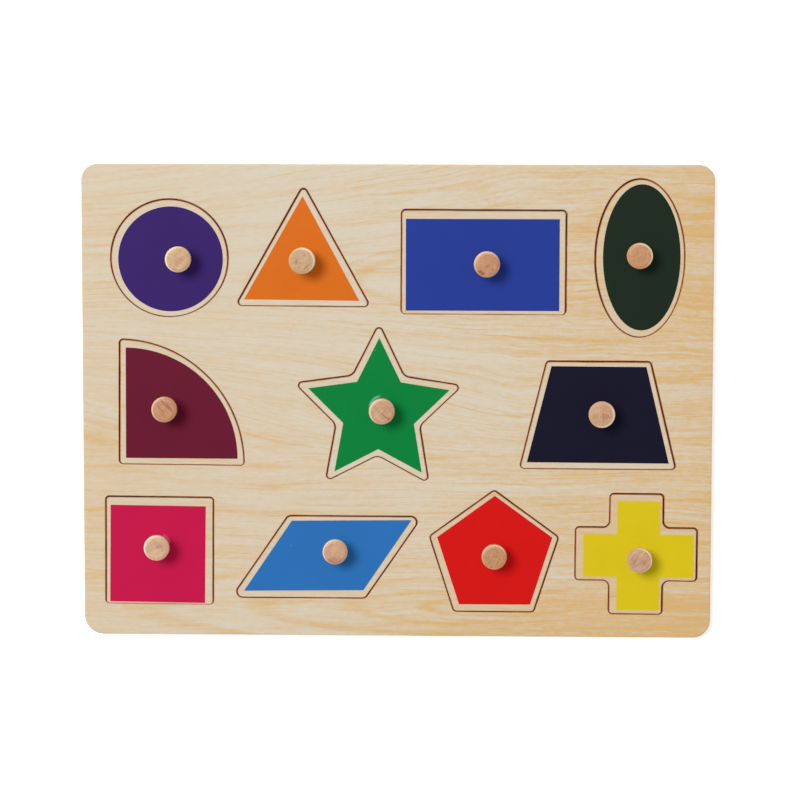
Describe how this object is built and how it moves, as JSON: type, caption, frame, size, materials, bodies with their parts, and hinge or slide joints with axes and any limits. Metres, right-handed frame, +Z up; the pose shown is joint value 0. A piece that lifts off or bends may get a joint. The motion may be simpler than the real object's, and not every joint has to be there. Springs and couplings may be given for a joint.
{
  "type": "peg puzzle",
  "caption": "Flat wooden board whose loose coloured shapes lift out of matching cut-outs by small turned knobs.",
  "frame": {"origin": "under the middle of the board, on the surface that it lies on", "axes": "+X to the right along the board's long side, +Y towards the board's upper edge, +Z up out of the printed face"},
  "size_m": [0.3, 0.2256, 0.0231],
  "materials": {
    "board_wood": "pale sanded plywood, clear matt lacquer, burnt laser-cut edges",
    "backing_wood": "plain plywood",
    "piece_wood": "pale sanded plywood, burnt laser-cut edges",
    "knob_wood": "turned solid wood, sanded, clear matt lacquer",
    "circle_ink": "purple screen print, semi-gloss",
    "triangle_ink": "orange screen print, semi-gloss",
    "rectangle_ink": "blue screen print, semi-gloss",
    "oval_ink": "dark green screen print, semi-gloss",
    "quarter_ink": "maroon screen print, semi-gloss",
    "star_ink": "green screen print, semi-gloss",
    "trapezoid_ink": "dark navy screen print, semi-gloss",
    "square_ink": "crimson screen print, semi-gloss",
    "parallelogram_ink": "sky blue screen print, semi-gloss",
    "pentagon_ink": "red screen print, semi-gloss",
    "cross_ink": "yellow screen print, semi-gloss"
  },
  "bodies": {
    "board": {"tray_top": "board_wood", "tray_back": "backing_wood"},
    "circle": {"circle_piece": "piece_wood", "circle_print": "circle_ink", "circle_knob": "knob_wood"},
    "triangle": {"triangle_piece": "piece_wood", "triangle_print": "triangle_ink", "triangle_knob": "knob_wood"},
    "rectangle": {"rectangle_piece": "piece_wood", "rectangle_print": "rectangle_ink", "rectangle_knob": "knob_wood"},
    "oval": {"oval_piece": "piece_wood", "oval_print": "oval_ink", "oval_knob": "knob_wood"},
    "quarter": {"quarter_piece": "piece_wood", "quarter_print": "quarter_ink", "quarter_knob": "knob_wood"},
    "star": {"star_piece": "piece_wood", "star_print": "star_ink", "star_knob": "knob_wood"},
    "trapezoid": {"trapezoid_piece": "piece_wood", "trapezoid_print": "trapezoid_ink", "trapezoid_knob": "knob_wood"},
    "square": {"square_piece": "piece_wood", "square_print": "square_ink", "square_knob": "knob_wood"},
    "parallelogram": {"parallelogram_piece": "piece_wood", "parallelogram_print": "parallelogram_ink", "parallelogram_knob": "knob_wood"},
    "pentagon": {"pentagon_piece": "piece_wood", "pentagon_print": "pentagon_ink", "pentagon_knob": "knob_wood"},
    "cross": {"cross_piece": "piece_wood", "cross_print": "cross_ink", "cross_knob": "knob_wood"}
  },
  "joints": [
    {"name": "circle_lift", "type": "slide", "parent": "board", "child": "circle", "axis": [0, 0, 1], "range_m": [0, 0.03]},
    {"name": "triangle_lift", "type": "slide", "parent": "board", "child": "triangle", "axis": [0, 0, 1], "range_m": [0, 0.03]},
    {"name": "rectangle_lift", "type": "slide", "parent": "board", "child": "rectangle", "axis": [0, 0, 1], "range_m": [0, 0.03]},
    {"name": "oval_lift", "type": "slide", "parent": "board", "child": "oval", "axis": [0, 0, 1], "range_m": [0, 0.03]},
    {"name": "quarter_lift", "type": "slide", "parent": "board", "child": "quarter", "axis": [0, 0, 1], "range_m": [0, 0.03]},
    {"name": "star_lift", "type": "slide", "parent": "board", "child": "star", "axis": [0, 0, 1], "range_m": [0, 0.03]},
    {"name": "trapezoid_lift", "type": "slide", "parent": "board", "child": "trapezoid", "axis": [0, 0, 1], "range_m": [0, 0.03]},
    {"name": "square_lift", "type": "slide", "parent": "board", "child": "square", "axis": [0, 0, 1], "range_m": [0, 0.03]},
    {"name": "parallelogram_lift", "type": "slide", "parent": "board", "child": "parallelogram", "axis": [0, 0, 1], "range_m": [0, 0.03]},
    {"name": "pentagon_lift", "type": "slide", "parent": "board", "child": "pentagon", "axis": [0, 0, 1], "range_m": [0, 0.03]},
    {"name": "cross_lift", "type": "slide", "parent": "board", "child": "cross", "axis": [0, 0, 1], "range_m": [0, 0.03]}
  ]
}
